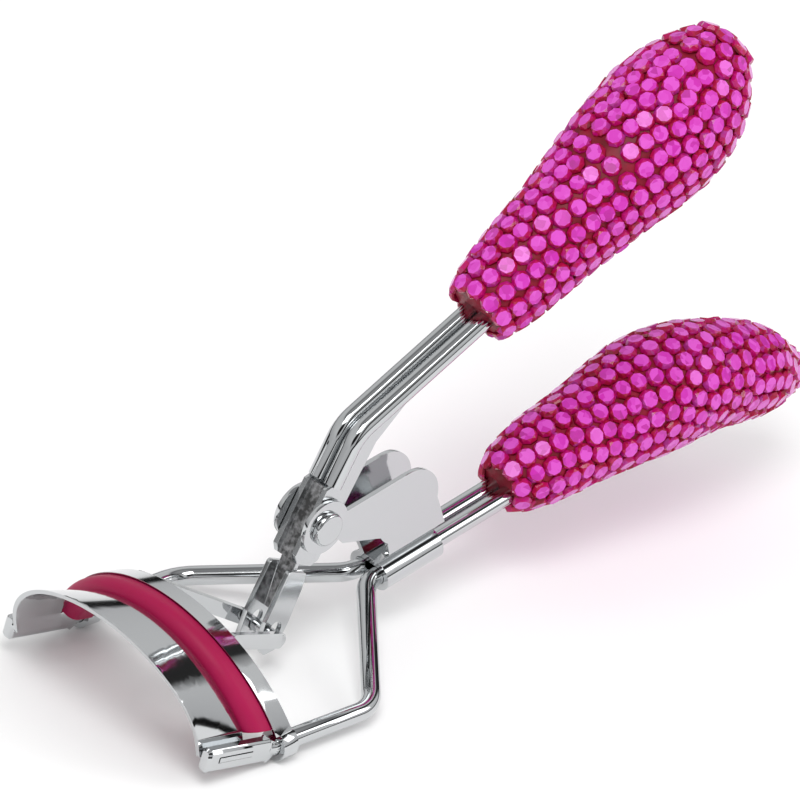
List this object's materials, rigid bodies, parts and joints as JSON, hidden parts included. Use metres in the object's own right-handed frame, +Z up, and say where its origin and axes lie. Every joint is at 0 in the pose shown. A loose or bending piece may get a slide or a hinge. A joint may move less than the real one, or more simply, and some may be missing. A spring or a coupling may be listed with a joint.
{
  "type": "eyelash curler",
  "caption": "Chrome eyelash curler with a scissor lever, a jaw with a soft pad that slides on two rails, and grips covered with pink faceted stones.",
  "frame": {"origin": "middle of the bounding box's bottom face", "axes": "-X towards the jaws, +X towards the grips, +Z up from the guide rails to the lever, rails along X, pivot axis along Y"},
  "size_m": [0.1204, 0.038, 0.0704],
  "materials": {
    "chrome": "polished",
    "silicone": "satin",
    "grip_plastic": "satin",
    "red_glue": "gloss",
    "rhinestone": "faceted gloss"
  },
  "bodies": {
    "frame": {"frame_wire_near": "chrome", "frame_wire_far": "chrome", "fixed_jaw_plate": "chrome", "clamp_bracket": "chrome", "pivot_rivet": "chrome", "lower_grip_core": "grip_plastic", "lower_grip_glue": "red_glue", "lower_grip_stones": "rhinestone"},
    "lever": {"lever_wire_near": "chrome", "lever_wire_far": "chrome", "lever_channel": "chrome", "hook_arm": "chrome", "upper_grip_core": "grip_plastic", "upper_grip_glue": "red_glue", "upper_grip_stones": "rhinestone"},
    "jaw": {"jaw_channel": "chrome", "jaw_yoke": "chrome", "silicone_pad": "silicone"}
  },
  "joints": [
    {"name": "lever_pivot", "type": "hinge", "parent": "frame", "child": "lever", "pos_m": [-0.02504, 0, 0.0187], "axis": [0, -1, 0], "range_deg": [0, 38.2]},
    {"name": "jaw_slide", "type": "slide", "parent": "frame", "child": "jaw", "axis": [1, 0, 0], "range_m": [0, 0.0098]}
  ],
  "couplings": [
    {"joint": "jaw_slide", "follows": "lever_pivot", "m_per_rad": 0.014551}
  ]
}
